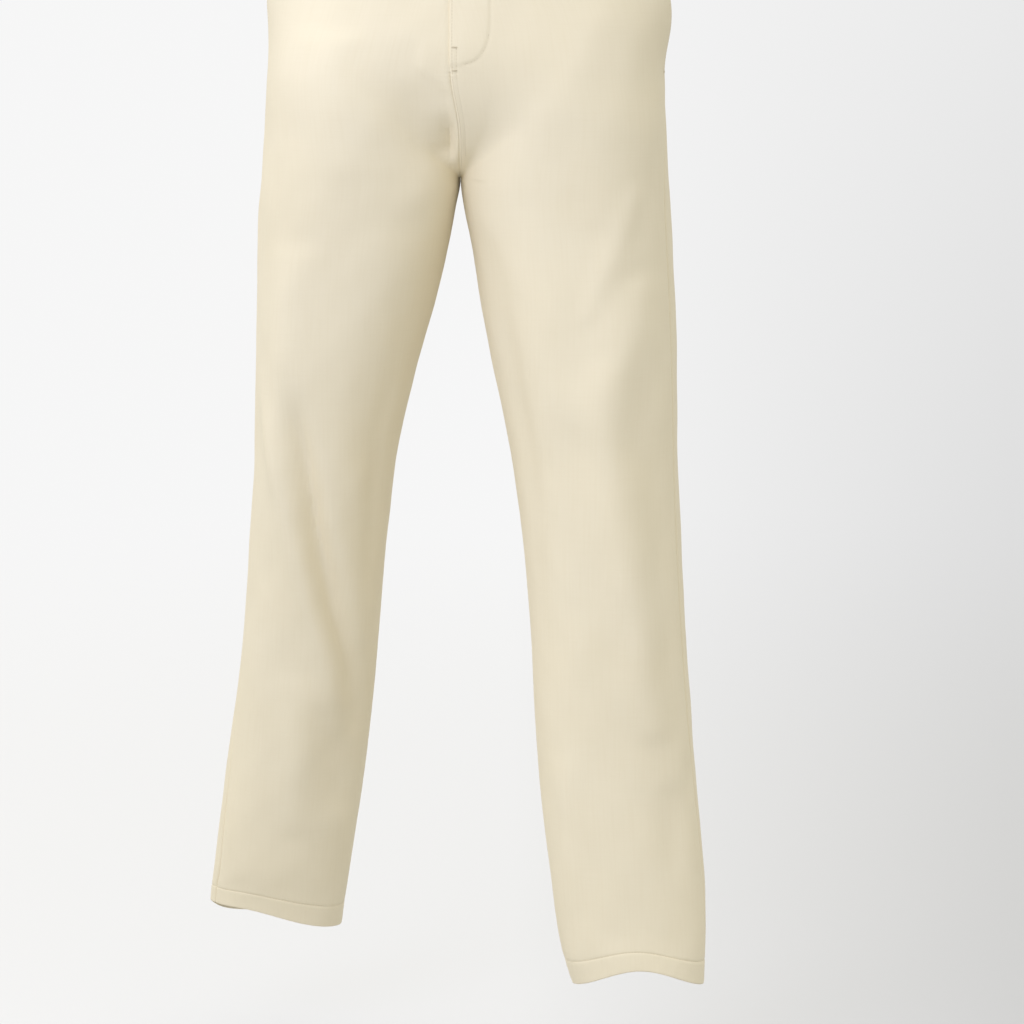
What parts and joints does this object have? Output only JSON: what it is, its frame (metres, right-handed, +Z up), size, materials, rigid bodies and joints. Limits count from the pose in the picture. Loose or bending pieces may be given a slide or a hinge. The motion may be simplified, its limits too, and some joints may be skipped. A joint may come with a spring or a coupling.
{
  "type": "chino trousers",
  "caption": "Straight full-length cotton trousers, hollow as worn in mid-step, with slant pockets, fly front, belt loops and plain hems.",
  "frame": {"origin": "middle of the waist opening, level with the waistband's top edge", "axes": "+Z up out of the waist, -Y to the wearer's front, +X to the wearer's left"},
  "size_m": [0.5172, 0.3553, 1.0812],
  "materials": {
    "cream_twill": "fine cotton twill, smooth, faint sheen",
    "zip_tape": "woven tape",
    "brass": "satin",
    "button": "polished, faintly streaked"
  },
  "bodies": {
    "root": {"front_left": "cream_twill", "front_left_shin": "cream_twill", "front_right": "cream_twill", "front_right_shin": "cream_twill", "back_left": "cream_twill", "back_left_shin": "cream_twill", "back_right": "cream_twill", "back_right_shin": "cream_twill", "hem_front_left": "cream_twill", "hem_front_right": "cream_twill", "hem_back_left": "cream_twill", "hem_back_right": "cream_twill", "pocket_facing_left": "cream_twill", "pocket_facing_right": "cream_twill", "waistband_left": "cream_twill", "waistband_right": "cream_twill", "back_welt_left": "cream_twill", "back_welt_right": "cream_twill", "fly_shield": "cream_twill", "belt_loop_front_left": "cream_twill", "belt_loop_front_right": "cream_twill", "belt_loop_side_left": "cream_twill", "belt_loop_side_right": "cream_twill", "belt_loop_back": "cream_twill", "zip_tape": "zip_tape", "zip_slider": "brass", "waist_button": "button"}
  },
  "joints": []
}
